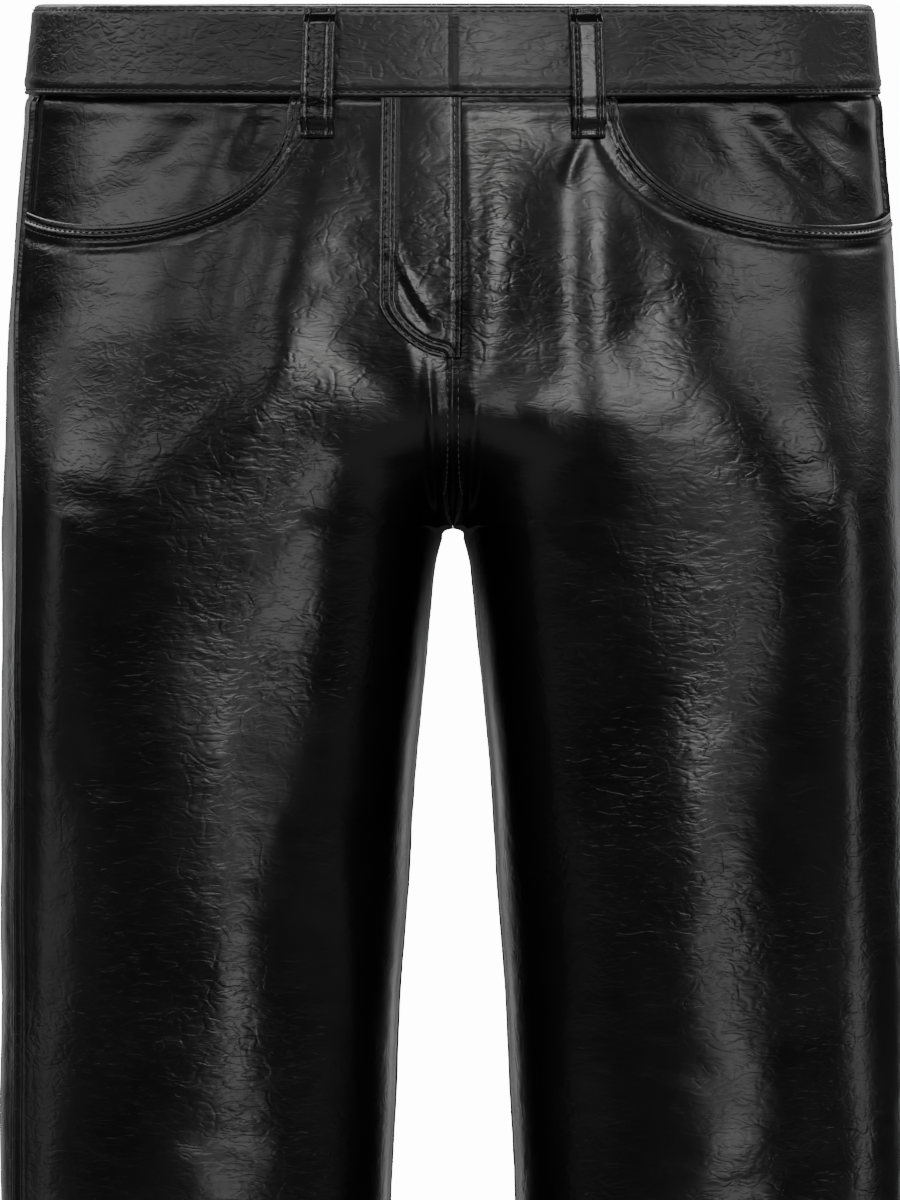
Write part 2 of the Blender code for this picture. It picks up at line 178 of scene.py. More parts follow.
FLY_GROOVE = (0.0005, 0.0006)
FLY_LAP_GROOVE = (0.0003, 0.0006)
FLY_RIDGE = (0.0004, 0.0009)
LOOP_GROOVE = (0.00035, 0.0006)

# Grids of the visual pieces
SLOPE_STEP = 0.0002
NORMAL_CLEAR_OF_FORK = 0.004
LAST_AROUND = 0.99
CENTRE_FREE_BELOW = 0.004
ROW_STEPS = {"front": (0.0036, 0.0021), "back": (0.0040, 0.0026)}
KNEE = -0.46
HEM_STEP = 0.0008
HEM_MARGIN = 0.003
TOP_MARGIN = 0.004
POCKET_DEPTH = 0.075
POCKET_EDGE = 0.012

# Largest folds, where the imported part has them: a ridge where height is over 0. Those on the
# front of the trunk are lower here, because the creases below take their place in part.
FOLD_COLUMNS = ("side", "level_a", "around_a", "level_b", "around_b", "half_width", "height")
FOLDS = (
    # front of the trunk
    ("right", -0.040, 0.098, -0.150, 0.150, 0.010, 0.0006),
    ("right", -0.045, 0.130, -0.125, 0.200, 0.010, -0.0008),
    ("right", -0.060, 0.083, -0.125, 0.075, 0.009, -0.0004),
    ("left", -0.022, 0.038, -0.155, 0.030, 0.011, 0.0006),
    ("left", -0.024, 0.072, -0.130, 0.070, 0.009, -0.0006),
    ("left", -0.036, 0.094, -0.160, 0.110, 0.008, 0.0005),
    ("left", -0.050, 0.127, -0.140, 0.140, 0.010, -0.0006),
    ("left", -0.080, 0.187, -0.160, 0.200, 0.015, 0.0005),
    # front of the legs
    ("right", -0.240, 0.235, -0.440, 0.225, 0.018, 0.0024),
    ("left", -0.250, 0.240, -0.430, 0.235, 0.020, 0.0024),
    ("right", -0.430, 0.120, -0.480, 0.400, 0.012, -0.0022),
    ("left", -0.410, 0.400, -0.470, 0.110, 0.013, -0.0022),
    ("right", -0.855, 0.090, -0.895, 0.360, 0.012, -0.0024),
    ("left", -0.870, 0.360, -0.905, 0.100, 0.011, -0.0020),
    # below the seat
    ("right", -0.205, 0.960, -0.235, 0.640, 0.012, -0.0028),
    ("left", -0.200, 0.960, -0.245, 0.660, 0.013, -0.0026),
    ("right", -0.250, 0.930, -0.290, 0.720, 0.011, -0.0020),
    ("left", -0.262, 0.900, -0.285, 0.690, 0.012, -0.0018),
    # behind the knees
    ("right", -0.425, 0.620, -0.445, 0.920, 0.010, -0.0034),
    ("right", -0.470, 0.900, -0.495, 0.600, 0.012, -0.0030),
    ("left", -0.418, 0.930, -0.450, 0.640, 0.011, -0.0032),
    ("left", -0.468, 0.600, -0.500, 0.880, 0.011, -0.0032),
    # above the hems
    ("right", -0.840, 0.640, -0.880, 0.900, 0.013, -0.0024),
    ("left", -0.850, 0.900, -0.895, 0.620, 0.012, -0.0026),
)
FOLD_GIRTH = 0.450
FOLDS_END_BY_SEAM = 0.030

# Creases seen from the front or the back, in millimetres from the centre and from the waist's
# middle: both ends, how far the middle bows to +x, the wearer's left, half width and height.
CREASE_COLUMNS = ("x_a", "z_a", "x_b", "z_b", "bow", "half_width", "height")
FRONT_CREASES = (
    # beside the fly and down the middle, on the wearer's left
    (17, -34, 9, -172, 0, 12, 1.4),
    (43, -24, 46, -168, 0, 9, -1.4),
    (53, -34, 42, -58, 2, 2.5, -0.6),
    (74, -60, 80, -165, 2, 12, -0.3),
    (96, -64, 104, -168, 3, 14, 0.4),
    (120, -80, 146, -138, 5, 10, 0.5),
    (138, -96, 156, -170, 4, 9, -0.5),
    # on the wearer's right
    (-64, -14, -96, -118, -4, 9, -0.8),
    (-54, -30, -74, -140, -4, 12, 0.5),
    (-30, -6, -27, -128, 0, 14, -1.0),
    (-29, -100, -14, -140, -6, 5, 0.9),
    (-24, -72, -7, -106, 3, 2, 0.7),
    (-22, -80, -7, -112, 3, 2, -0.7),
    (-56, -98, -86, -165, -5, 9, 0.9),
    (-104, -74, -142, -140, -6, 10, 0.6),
    (-76, -78, -116, -160, -4, 7, -0.8),
    # up from the crotch
    (-9.5, -118, -5.5, -198, 0, 1.9, 2.2),
    (8.5, -132, 5.5, -198, 0, 1.6, 2.0),
    (-12, -140, -50, -108, 4, 8, -0.7),
    (12, -142, 54, -118, -4, 8, -0.6),
    (-14, -165, -62, -150, 5, 7, -0.8),
    (14, -168, 66, -150, -5, 8, -0.8),
    (-18, -182, -70, -190, 6, 8, 0.6),
    (20, -185, 74, -200, -6, 9, 0.6),
    # thighs and knees
    (-160, -290, -10, -290, 0, 45, 2.2),
    (10, -290, 160, -290, 0, 45, 2.2),
    (-60, -200, -92, -330, -6, 14, -0.9),
    (-104, -210, -120, -400, 5, 12, 0.9),
    (-82, -268, -78, -440, 3, 22, -1.5),
    (-48, -280, -32, -430, -3, 6, 0.9),
    (-140, -230, -150, -420, 3, 8, -0.8),
    (52, -215, 84, -340, 5, 14, -0.9),
    (90, -268, 84, -440, -4, 24, -1.5),
    (60, -300, 66, -440, 3, 9, 0.8),
    (148, -212, 152, -350, 2, 8, 0.8),
    (-150, -165, -120, -182, 3, 6, -0.5),
    (158, -150, 122, -172, 3, 6, -0.5),
    (-154, -262, -112, -288, 4, 7, -0.6),
    (60, -372, 112, -392, 4, 8, -0.6),
    (-118, -402, -66, -418, 4, 8, -0.7),
    # pocket facings
    (116, -20, 160, -58, 4, 4, 1.2),
    (104, -20, 152, -68, 4, 4, -1.2),
    (132, -20, 162, -44, 4, 4, -1.0),
    (92, -20, 124, -64, 3, 6, 0.9),
    (143, -20, 164, -34, 3, 3, 0.8),
    (-76, -24, -110, -66, -4, 7, 0.7),
    (-110, -22, -150, -60, -6, 7, 0.7),
    (-92, -22, -130, -64, -5, 6, -0.8),
    (-70, -24, -84, -50, -3, 5, -0.8),
)
BACK_CREASES = (
    # seat and backs of the legs
    (22, -34, 16, -120, 3, 7, -0.8),
    (-30, -30, -20, -112, -3, 6, -0.8),
    (70, -30, 88, -118, 5, 9, 0.8),
    (-84, -36, -96, -126, -5, 9, 0.8),
    (120, -50, 140, -130, 4, 9, -0.8),
    (-126, -44, -142, -140, -5, 8, -0.8),
    (12, -172, 60, -196, -4, 7, -1.2),
    (-12, -170, -66, -200, 4, 7, -1.2),
    (24, -196, 96, -226, -5, 8, -1.0),
    (-22, -200, -104, -222, 5, 8, -1.0),
    (66, -250, 92, -380, 5, 12, 0.9),
    (-72, -240, -98, -390, -5, 12, 0.9),
    (40, -430, 120, -452, 4, 8, -1.2),
    (-46, -436, -128, -448, -4, 8, -1.2),
)


def smooth_step(t):
    t = np.clip(t, 0.0, 1.0)
    return t * t * (3.0 - 2.0 * t)


def column(table, names, name):
    """One named column of a table, as numbers."""
    return np.array([row[names.index(name)] for row in table])


def section(level, name):
    """A smooth curve through one column of SECTIONS."""
    levels = column(SECTIONS, SECTION_COLUMNS, "level")
    values = column(SECTIONS, SECTION_COLUMNS, name)
    slopes = np.gradient(values, levels)
    level = np.clip(level, levels[0], levels[-1])
    i = np.clip(np.searchsorted(levels, level) - 1, 0, len(levels) - 2)
    span = levels[i + 1] - levels[i]
    t = (level - levels[i]) / span
    start = (1 + 2 * t) * (1 - t) ** 2 * values[i] + t * (1 - t) ** 2 * span * slopes[i]
    end = t * t * (3 - 2 * t) * values[i + 1] + t * t * (t - 1) * span * slopes[i + 1]
    return start + end


def leg_share(level, around):
    """1 on the legs and 0 on the trunk, smoothly. The fork reaches higher at the back."""
    to_back = smooth_step((around - FORK_TURNS_TO_BACK_AT) / FORK_TURNS_TO_BACK_OVER)
    reach = FORK_HEIGHT_FRONT + (FORK_HEIGHT_BACK - FORK_HEIGHT_FRONT) * to_back
    return 1.0 - smooth_step((level - CROTCH) / reach)


def fuller(depth, fullness):
    """Squares up an elliptical section, whose depth is 1 at its middle and 0 at its ends."""
    return depth * (1.0 + fullness * (1.0 - depth**2))


def change_down(level, top, bottom, at_top, at_bottom):
    """A value that changes smoothly from one level down to another."""
    return at_top + (at_bottom - at_top) * smooth_step((top - level) / (top - bottom))


def leg_arch(level):
    """A round arch between the legs, by which the inseam first moves aside."""
    in_arch = np.clip(1.0 - (CROTCH - level) / ARCH_RADIUS, 0.0, 1.0)
    return ARCH_RADIUS * np.sqrt(1.0 - in_arch**2)


def leg_taper(level):
    """Half of the space between the legs besides the arch: a slow taper."""
    drop = np.maximum(CROTCH - level, 0.0)
    return LEG_GAP_TAPER * (1.0 - np.exp(-drop / LEG_GAP_TAPER_LENGTH))


def plain_form(level, around):
    """The form without folds, on the wearer's left. Past the centre it is mirrored."""
    mirror = np.where(around < 0, -1.0, 1.0)
    around = np.abs(around)
    side = section(level, "side")
    front = section(level, "front")
    back = section(level, "back")
    gap = leg_taper(level)
    share = leg_share(level, around)
    turn = around * math.pi
    reach = (1 - share) * side / (1 + np.sin(turn)) + share * (side - gap)
    root = np.cos(turn) * np.sqrt(reach)
    x = side - root**2
    rounding = FORK_ROUNDING * np.maximum(level - CROTCH, 0.0)
    from_gap = np.maximum(np.hypot(x, rounding) - gap, 0.0)
    trunk_fullness = change_down(level, FULLER_BELOW, CROTCH, WAIST_FULLNESS, FORK_FULLNESS)
    leg_fullness = change_down(level, CROTCH, FULLER_ABOVE, FORK_FULLNESS, KNEE_FULLNESS)
    trunk = fuller(root * np.sqrt(side + x) / side, trunk_fullness)
    leg = fuller(root * np.sqrt(from_gap) * 2 / (side - gap), leg_fullness)
    depth = (1 - share) * trunk + share * leg
    x = x + leg_arch(level) * np.exp((gap - x) / ARCH_REACH)
    y = (back - front) / 2 - (back + front) / 2 * depth
    tip = smooth_step((level - TIP_FADES_AT) / (WAIST_SEAM - TIP_FADES_AT))
    z = level - WAIST_TIP * np.cos(turn) * tip
    return np.stack([mirror * x, y, z], axis=-1)


def slopes(level, around):
    """How a place on the form moves with around and with level, in metres."""
    clear = NORMAL_CLEAR_OF_FORK
    kept = np.clip(np.abs(around), clear, 1 - clear)
    step = SLOPE_STEP
    across = (plain_form(level, kept + step) - plain_form(level, kept - step)) / (2 * step)
    up = (plain_form(level + step, kept) - plain_form(level - step, kept)) / (2 * step)
    mirror = np.where(around < 0, -1.0, 1.0)[..., None]
    across = across * np.concatenate([np.ones_like(mirror), mirror, mirror], axis=-1)
    up = up * np.concatenate([mirror, np.ones_like(mirror), np.ones_like(mirror)], axis=-1)
    return across, up


def normals(level, around):
    """Unit vectors that point out of the plain form."""
    across, up = slopes(level, around)
    out = np.cross(across, up)
    return out / np.linalg.norm(out, axis=-1, keepdims=True)


def fold_height(level, around, side):
    """How far the folds of one side lift the cloth. Past the centre the other side's count."""
    other = {"left": "right", "right": "left"}[side]
    here = np.where(around < 0, other, side)
    around = np.abs(around)
    total = np.zeros(np.shape(level))
    for row in FOLDS:
        fold = dict(zip(FOLD_COLUMNS, row))
        start = np.array([fold["around_a"] * FOLD_GIRTH, fold["level_a"]])
        along = np.array([fold["around_b"] * FOLD_GIRTH, fold["level_b"]]) - start
        length = np.linalg.norm(along)
        along /= length
        x = around * FOLD_GIRTH - start[0]
        z = level - start[1]
        place = np.clip((x * along[0] + z * along[1]) / length, 0.0, 1.0)
        off = (x * along[1] - z * along[0]) / fold["half_width"]
        shape = np.exp(-(off**2)) * (1.0 - (2 * place - 1) ** 2) ** 2
        total += np.where(here == fold["side"], fold["height"] * shape, 0.0)
    from_seam = np.minimum(around, 1.0 - around)
    return total * smooth_step(from_seam / FOLDS_END_BY_SEAM)


def gradient_noise(points, seed):
    """Smooth noise from -1 to 1 at points whose features are about 1 apart."""
    rng = np.random.default_rng(seed)
    shuffle = rng.permutation(256)
    arrows = rng.normal(size=(256, 3))
    arrows /= np.linalg.norm(arrows, axis=1, keepdims=True)
    cell = np.floor(points).astype(int)
    inside = points - cell
    fade = inside**3 * (inside * (inside * 6 - 15) + 10)
    total = np.zeros(points.shape[:-1])
    for corner in np.ndindex(2, 2, 2):
        corner = np.array(corner)
        at = (cell + corner) & 255
        index = shuffle[(shuffle[(shuffle[at[..., 0]] + at[..., 1]) & 255] + at[..., 2]) & 255]
        share = np.prod(np.where(corner == 1, fade, 1 - fade), axis=-1)
        total += share * np.sum(arrows[index] * (inside - corner), axis=-1)
    return total * 1.5


def crease_height(points):
    """How far the finer creases lift the cloth at points on the wearer."""
    total = np.zeros(len(points))
    in_front = points[:, 1] < 0
    for on_half, table in ((in_front, FRONT_CREASES), (~in_front, BACK_CREASES)):
        for row in table:
            crease = dict(zip(CREASE_COLUMNS, row))
            start = np.array([crease["x_a"], crease["z_a"]]) / 1000
            along = np.array([crease["x_b"], crease["z_b"]]) / 1000 - start
            length = np.linalg.norm(along)
            along /= length
            x = points[:, 0] - start[0]
            z = points[:, 2] - start[1]
            place = (x * along[0] + z * along[1]) / length
            bent = crease["bow"] / 1000 * (1 - (2 * np.clip(place, 0, 1) - 1) ** 2)
            off = x * along[1] - z * along[0] + bent * along[1]
            fade = np.clip(1.0 - (2 * place - 1) ** 2, 0.0, 1.0)
            shape = np.exp(-((off * 1000 / crease["half_width"]) ** 2)) * fade
            total += np.where(on_half, crease["height"] / 1000 * shape, 0.0)
    return total


def wrinkle_height(points):
    """Uneven small wrinkles all over, longer across than up."""
    broad = gradient_noise(points / np.array([0.060, 0.060, 0.042]), 11) * 0.00060
    middle = gradient_noise(points / np.array([0.026, 0.026, 0.013]), 12)
    ridged = (0.5 - np.abs(middle)) * 0.00040
    small = gradient_noise(points / np.array([0.012, 0.012, 0.0055]), 13) * 0.00010
    where = 0.5 + 0.5 * gradient_noise(points / 0.07, 14)
    return broad + ridged * where + small


def mirrored(points, side):
    return points * np.array([-1.0 if side == "right" else 1.0, 1.0, 1.0])


def on_wearer(level, around, side):
    """Points on the plain form, one a row."""
    return mirrored(plain_form(level, around), side).reshape(-1, 3)


def wrinkles(level, around, side):
    """The small wrinkles alone, at places on the form."""
    return wrinkle_height(on_wearer(level, around, side)).reshape(level.shape)


def relief(level, around, side):
    """Everything that lifts the cloth off the plain form, in metres."""
    points = on_wearer(level, around, side)
    folds = fold_height(level.ravel(), around.ravel(), side)
    return (folds + crease_height(points) + wrinkle_height(points)).reshape(level.shape)


def curve_point(t, points):
    """A cubic curve through its first and last points."""
    weights = ((1 - t) ** 3, 3 * t * (1 - t) ** 2, 3 * t * t * (1 - t), t**3)
    return sum(w * p for w, p in zip(weights, points))


def pocket_mouth(t, side):
    """The pocket mouth's level and place around, from the waist seam to the side seam."""
    arounds = (
        POCKET_START_AROUND,
        POCKET_STEEP_AROUND,
        POCKET_LOW_AROUND,
        SIDE_SEAM_AROUND[side],
    )
    levels = (WAIST_SEAM, POCKET_STEEP_LEVEL, POCKET_LOW_LEVEL, POCKET_END_LEVEL)
    return curve_point(t, levels), curve_point(t, arounds)


def metres_around(level, around):
    """Metres for a whole step of around."""
    return np.linalg.norm(slopes(level, around)[0], axis=-1)


def stations(*stretches):
    """Values at the rows of a grid: each stretch goes on from the last one's end."""
    joined = [stretches[0][:1]]
    joined += [stretch[1:] for stretch in stretches]
    return np.concatenate(joined)


def at(share, values):
    """Reads evenly numbered stations at a share of the way along them."""
    return np.interp(share * (len(values) - 1), np.arange(len(values)), values)


def bunched_down(start, end, rows):
    return end + (start - end) * np.linspace(1.0, 0.0, rows + 1) ** 2


def bunched_up(start, end, rows):
    return start + (end - start) * np.linspace(0.0, 1.0, rows + 1) ** 2


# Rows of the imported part's grids, times how much finer the curves are read here
FINER = 8
LEG_ROWS = 12 * FINER
FORK_ROWS = 7 * FINER
HIP_ROWS = 7 * FINER
YOKE_ROWS = 3 * FINER
WAIST_COLUMNS = 7 * FINER
POCKET_COLUMNS = 11 * FINER


def leg_levels_at_inseam():
    top = CROTCH - FORK_DEPTH
    return stations(np.linspace(HEM, top, LEG_ROWS + 1), bunched_down(top, CROTCH, FORK_ROWS))


def leg_levels_at_side():
    top = CROTCH - FORK_DEPTH
    return stations(
        np.linspace(HEM, top, LEG_ROWS + 1), np.linspace(top, CROTCH, FORK_ROWS + 1)
    )


def front_chart(side):
    """Front leg panel. Its columns end on the waist seam and on the pocket mouth."""
    hip = CROTCH + FORK_HEIGHT_FRONT
    inner = stations(leg_levels_at_inseam(), bunched_up(CROTCH, hip, FORK_ROWS))
    outer = stations(leg_levels_at_side(), np.linspace(CROTCH, hip, FORK_ROWS + 1))
    to_hip = (len(inner) - 1) / (len(inner) - 1 + HIP_ROWS)
    mouth_levels, mouth_arounds = pocket_mouth(np.linspace(0.0, 1.0, POCKET_COLUMNS + 1), side)
    waist = np.linspace(0.0, POCKET_START_AROUND, WAIST_COLUMNS + 1)
    top_arounds = stations(waist, mouth_arounds)
    top_levels = stations(np.full(WAIST_COLUMNS + 1, WAIST_SEAM + UNDER_BAND), mouth_levels)

    def chart(u, v):
        below = np.clip(v / to_hip, 0.0, 1.0)
        above = np.clip((v - to_hip) / (1.0 - to_hip), 0.0, 1.0)
        level = at(below, inner) + (at(below, outer) - at(below, inner)) * smooth_step(u)
        level = level + (at(u, top_levels) - hip) * above
        even = u * SIDE_SEAM_AROUND[side]
        to_top = smooth_step((level - CROTCH) / (hip - CROTCH))
        around = even + (at(u, top_arounds) - even) * to_top
        return level, around + SEAM_LAP * u

    return chart, outer, to_hip


def back_chart(side):
    """Back leg panel, from the side seam to the centre back and the inseam."""
    seat = CROTCH + FORK_HEIGHT_BACK
    top = WAIST_SEAM + UNDER_BAND
    inner = stations(
        leg_levels_at_inseam(),
        bunched_up(CROTCH, seat, FORK_ROWS),
        np.linspace(seat, top, HIP_ROWS + YOKE_ROWS + 1),
    )
    hip = CROTCH + FORK_HEIGHT_FRONT
    outer = stations(
        leg_levels_at_side(),
        np.linspace(CROTCH, hip, FORK_ROWS + 1),
        np.linspace(hip, POCKET_END_LEVEL, HIP_ROWS + 1),
        np.linspace(POCKET_END_LEVEL, top, YOKE_ROWS + 1),
    )

    def chart(u, v):
        level = at(v, outer) + (at(v, inner) - at(v, outer)) * smooth_step(u)
        seam = SIDE_SEAM_AROUND[side]
        around = seam + (1.0 - seam) * u
        return level, around - SEAM_LAP * (1 - u)

    return chart, outer, 1.0


def band_chart():
    """Half of the waistband, from the centre front to the centre back."""

    def chart(u, v):
        bottom = WAIST_SEAM + SEAM_GAP / 2
        return bottom + (BAND_TOP - bottom) * v, u

    return chart


def facing_chart(side):
    """Pocket facing: fills the scoop and reaches under the front panel."""
    mouth_levels, mouth_arounds = pocket_mouth(np.linspace(0.0, 1.0, 200), side)
    start = POCKET_START_AROUND - FACING_REACH_AROUND
    end = SIDE_SEAM_AROUND[side]
    top = WAIST_SEAM + UNDER_BAND

    def chart(u, v):
        around = start + (end - start) * u
        beyond = np.minimum(around + FACING_REACH_AROUND, end)
        foot = np.interp(beyond, mouth_arounds, mouth_levels) - FACING_REACH_BELOW
        level = foot + (top - foot) * v
        return level, around - SEAM_GAP / 2 / metres_around(level, around) * u

    return chart


def fly_edge(level):
    """The fly's outer edge: straight down, then in to the centre."""
    rise = np.clip((level - FLY_FOOT_LEVEL) / FLY_CORNER_HEIGHT, 0.0, 1.0)
    turn = (1.0 - (1.0 - rise) ** FLY_CORNER_POWER) ** (1.0 / FLY_CORNER_POWER)
    return FLY_FOOT_AROUND + (FLY_AROUND - FLY_FOOT_AROUND) * turn


def fly_chart():
    corner_top = FLY_FOOT_LEVEL + FLY_CORNER_HEIGHT
    levels = stations(
        bunched_up(FLY_FOOT_LEVEL, corner_top, 6 * FINER),
        np.linspace(corner_top, WAIST_SEAM - SEAM_GAP / 2, 9 * FINER + 1),
    )

    def chart(u, v):
        level = at(v, levels)
        return level, FLY_LAP_AROUND + (fly_edge(level) - FLY_LAP_AROUND) * u

    return chart


def loop_chart(middle):
    """Belt loop: a strap down the band and past its seam."""
    foot = WAIST_SEAM - LOOP_BELOW_SEAM
    head = BAND_TOP - LOOP_TOP_INSET

    def chart(u, v):
        level = foot + (head - foot) * v
        width = metres_around(level, np.full_like(u, min(middle, LAST_AROUND)))
        return level, middle + LOOP_WIDTH * (u - 0.5) / width

    return chart


def loop_lift(level):
    """The belt loop's outer face: tacked at both ends and clear of the band between."""
    foot = WAIST_SEAM - LOOP_BELOW_SEAM
    head = BAND_TOP - LOOP_TOP_INSET
    up = smooth_step((level - foot - LOOP_TACK / 2) / LOOP_TACK)
    down = smooth_step((head - LOOP_TACK / 2 - level) / LOOP_TACK)
    on_band = smooth_step((level - WAIST_SEAM + LOOP_TACK) / LOOP_TACK)
    return SEAM_GAP + LOOP_CLOTH + BAND_PROUD * on_band + LOOP_STAND_OFF * up * down


def distance_to_curve(level, around, curve_level, curve_around):
    """Metres from places to a curve, both as level and around."""
    x = around * FOLD_GIRTH
    best = np.full(np.shape(level), 1.0)
    for z_a, x_a, z_b, x_b in zip(
        curve_level[:-1],
        curve_around[:-1] * FOLD_GIRTH,
        curve_level[1:],
        curve_around[1:] * FOLD_GIRTH,
    ):
        dx, dz = x_b - x_a, z_b - z_a
        t = np.clip(((x - x_a) * dx + (level - z_a) * dz) / (dx * dx + dz * dz), 0.0, 1.0)
        best = np.minimum(best, np.hypot(x - x_a - t * dx, level - z_a - t * dz))
    return best


def ridge(distance, height, half_width):
    return height * np.exp(-((distance / half_width) ** 2))


def groove(distance, depth, half_width):
    return -ridge(distance, depth, half_width)


def round_edge(distance, radius):
    """How far a rounded edge falls away from its face."""
    left = np.clip(radius - distance, 0.0, radius)
    return radius - np.sqrt(np.maximum(radius**2 - left**2, 0.0))


def seam_roll(distance):
    """Cloth that turns in to a seam."""
    return groove(distance, *SEAM_TURN) + ridge(distance - SEAM_SWELL_AT, *SEAM_SWELL)


def panel_seams(level, around, side, panel):
    """How the sewn edges shape a leg panel, and how far each place is from an open edge."""
    metres = metres_around(level, around)
    seam = SIDE_SEAM_AROUND[side]
    side_distance = np.abs(around - seam) * metres
    inner = around if panel == "front" else 1.0 - around
    inner_distance = np.abs(inner) * metres
    waist_distance = np.abs(WAIST_SEAM - level)
    hem_distance = level - HEM
    on_leg = smooth_step((INSEAM_RIDGE_FROM - level) / INSEAM_RIDGE_FADE)
    shape = seam_roll(inner_distance) + seam_roll(side_distance)
    shape += ridge(inner_distance - SEAM_RIDGE_AT, *INSEAM_RIDGE) * on_leg
    shape += ridge(side_distance - SEAM_RIDGE_AT, *SIDE_RIDGE)
    if panel == "front":
        mouth_levels, mouth_arounds = pocket_mouth(np.linspace(0.0, 1.0, 60), side)
        mouth = distance_to_curve(level, around, mouth_levels, mouth_arounds)
        near_waist = around < POCKET_START_AROUND
        shape += np.where(near_waist, seam_roll(waist_distance), 0.0)
        for distance in POCKET_ROWS:
            shape += groove(mouth - distance, *MOUTH_GROOVE)
        shape += ridge(mouth - MOUTH_RIDGE_AT, *MOUTH_RIDGE)
        shape += groove(mouth - MOUTH_HOLLOW_AT, *MOUTH_HOLLOW)
    else:
        shape += seam_roll(waist_distance)
        mouth = np.full(np.shape(level), 1.0)
    shape += groove(hem_distance - HEM_DEPTH, *HEM_GROOVE)
    return shape, np.minimum(mouth, hem_distance)


def lay(level, around, side, height):
    """Points on the wearer, height above the plain form. Beside the centre seams of the trunk
    nothing moves sideways, so that the two halves meet."""
    out = normals(level, around)
    from_centre = np.minimum(np.abs(around), np.abs(1.0 - around)) * FOLD_GIRTH
    below_fork = smooth_step((CROTCH - level) / CENTRE_FREE_BELOW)
    out[..., 0] *= np.maximum(smooth_step(from_centre / CENTRE_HELD), below_fork)
    return mirrored(plain_form(level, around) + height[..., None] * out, side)


def box_faces(columns, rows):
    """Faces of a grid two layers deep, closed round its rim: the outer layer's come first."""

    def faces(*corners):
        """One face for each place in the arrays: a corner is its row, column and layer."""
        numbers = [(layer * (rows + 1) + r) * (columns + 1) + c for r, c, layer in corners]
        return np.stack(numbers, axis=1)

    r, c = np.divmod(np.arange(rows * columns), columns)
    outer = faces((r, c, 0), (r, c + 1, 0), (r + 1, c + 1, 0), (r + 1, c, 0))
    inner = faces((r, c, 1), (r + 1, c, 1), (r + 1, c + 1, 1), (r, c + 1, 1))
    r = np.arange(rows)
    c = np.arange(columns)
    first_column = faces((r, 0, 0), (r + 1, 0, 0), (r + 1, 0, 1), (r, 0, 1))
    last_column = faces(
        (r, columns, 1), (r + 1, columns, 1), (r + 1, columns, 0), (r, columns, 0)
    )
    first_row = faces((0, c, 1), (0, c + 1, 1), (0, c + 1, 0), (0, c, 0))
    last_row = faces((rows, c, 0), (rows, c + 1, 0), (rows, c + 1, 1), (rows, c, 1))
    return np.concatenate([outer, inner, first_column, last_column, first_row, last_row])


def add_mesh(name, points, faces, materials, kinds=None):
    data = bpy.data.meshes.new(name)
    data.from_pydata(points.tolist(), [], faces.tolist())
    for material in materials:
        data.materials.append(material)
    if kinds is not None:
        data.polygons.foreach_set("material_index", kinds.astype(np.int32))
    data.shade_smooth()
    data.update()
    piece = bpy.data.objects.new(name, data)
    bpy.context.scene.collection.objects.link(piece)
    return piece


def add_cloth(name, side, places, heights, thickness, materials):
    """A thin shell: places is (level, around) on a grid, heights its outer face. The inner face
    has the second material."""
    level, around = places
    rows, columns = level.shape[0] - 1, level.shape[1] - 1
    outer = lay(level, around, side, heights).reshape(-1, 3)
    inner = lay(level, around, side, heights - thickness).reshape(-1, 3)
    faces = box_faces(columns, rows)
    if side == "right":
        faces = faces[:, ::-1]
    kinds = np.zeros(len(faces), int)
    kinds[rows * columns : 2 * rows * columns] = 1
    piece = add_mesh(name, np.concatenate([outer, inner]), faces, materials, kinds)
    piece.data.set_sharp_from_angle(angle=math.radians(60))
    return piece


def spaced(length, even, fine, reach):
    """Shares from 0 to 1 along a length: fine steps within reach of both ends, even between."""
    edge = np.arange(0.0, reach, fine)
    grow = reach + np.cumsum(np.linspace(fine, even, 6))
    head = np.concatenate([edge, grow])
    head = head[head < length / 2]
    count = max(2, int(round((length - 2 * head[-1]) / even)))
    middle = np.linspace(head[-1], length - head[-1], count + 1)[1:-1]
    return np.concatenate([head, middle, (length - head)[::-1]]) / length


def panel_rows(outer, to_hip, low_step, high_step):
    """Shares up a leg panel: coarser below the knee, fine at the hem and at the top."""
    top = outer[-1]
    hem_top = HEM + HEM_DEPTH
    has_mouth = to_hip < 1.0
    last = top if has_mouth else top - TOP_MARGIN
    levels = np.concatenate([
        HEM + np.arange(0.0, 0.006, HEM_STEP),
        np.arange(HEM + 0.0065, hem_top - HEM_MARGIN, 0.002),
        np.arange(hem_top - HEM_MARGIN, hem_top + HEM_MARGIN, HEM_STEP),
        np.arange(hem_top + 0.004, KNEE, low_step),
        np.arange(KNEE, last, high_step),
    ])
    known = np.linspace(0.0, to_hip, len(outer))
    shares = np.interp(levels, outer, known)
    if not has_mouth:
        fine = np.interp(np.linspace(top - TOP_MARGIN, top, 7), outer, known)
        return np.concatenate([shares, fine])
    coarse = np.arange(0.0, POCKET_DEPTH - POCKET_EDGE, high_step)
    fine = np.linspace(POCKET_DEPTH - POCKET_EDGE, POCKET_DEPTH, 20)
    steps = np.concatenate([coarse, fine])
    return np.concatenate([shares, to_hip + (1.0 - to_hip) * steps / POCKET_DEPTH])


